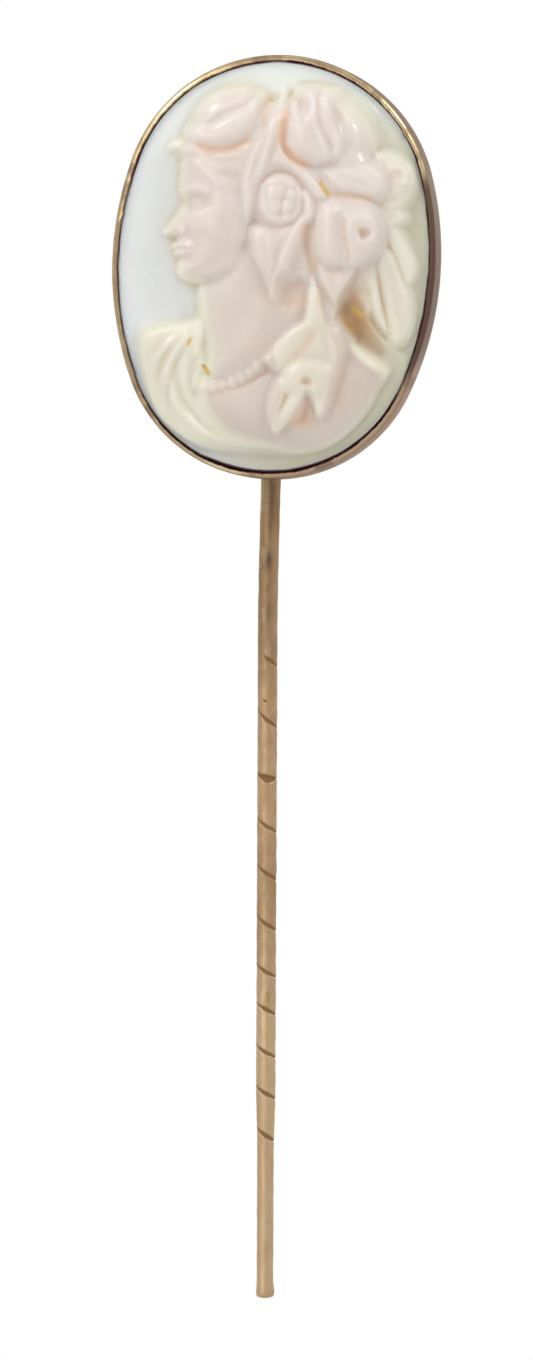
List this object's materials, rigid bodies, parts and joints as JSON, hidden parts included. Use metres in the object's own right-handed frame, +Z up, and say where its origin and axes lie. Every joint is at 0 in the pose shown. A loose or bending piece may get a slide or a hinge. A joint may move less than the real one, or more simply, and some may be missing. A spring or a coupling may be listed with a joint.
{
  "type": "cameo stick pin",
  "caption": "Stick pin: an oval carved cameo in a closed-back metal collet, soldered to a long round stem with a spirally grooved grip and a blunt end.",
  "frame": {"origin": "centre of the stem's blunt tip, on the stem's axis", "axes": "+Z up the stem towards the head; the carved face looks along -Y; +X to the viewer's right"},
  "size_m": [0.0158, 0.0076, 0.06],
  "materials": {
    "carved_coral": "waxy, softly polished carved coral or shell, creamy pink",
    "cement": "matt jeweller's cement, out of sight",
    "collet_metal": "aged rose-gold coloured metal, satin, brown in the creases",
    "ledge_metal": "unpolished rose-gold coloured metal, out of sight",
    "back_metal": "aged rose-gold coloured sheet, satin with fine wear",
    "seam_solder": "thin bright solder line",
    "stem_metal": "aged drawn wire, satin tan, browner towards the head",
    "stem_solder_metal": "dull solder that has flowed along the wire"
  },
  "bodies": {
    "root": {"cameo": "carved_coral", "packing": "cement", "collet": "collet_metal", "bearing_ledge": "ledge_metal", "back_plate": "back_metal", "collet_solder": "seam_solder", "stem": "stem_metal", "stem_solder": "stem_solder_metal"}
  },
  "joints": []
}
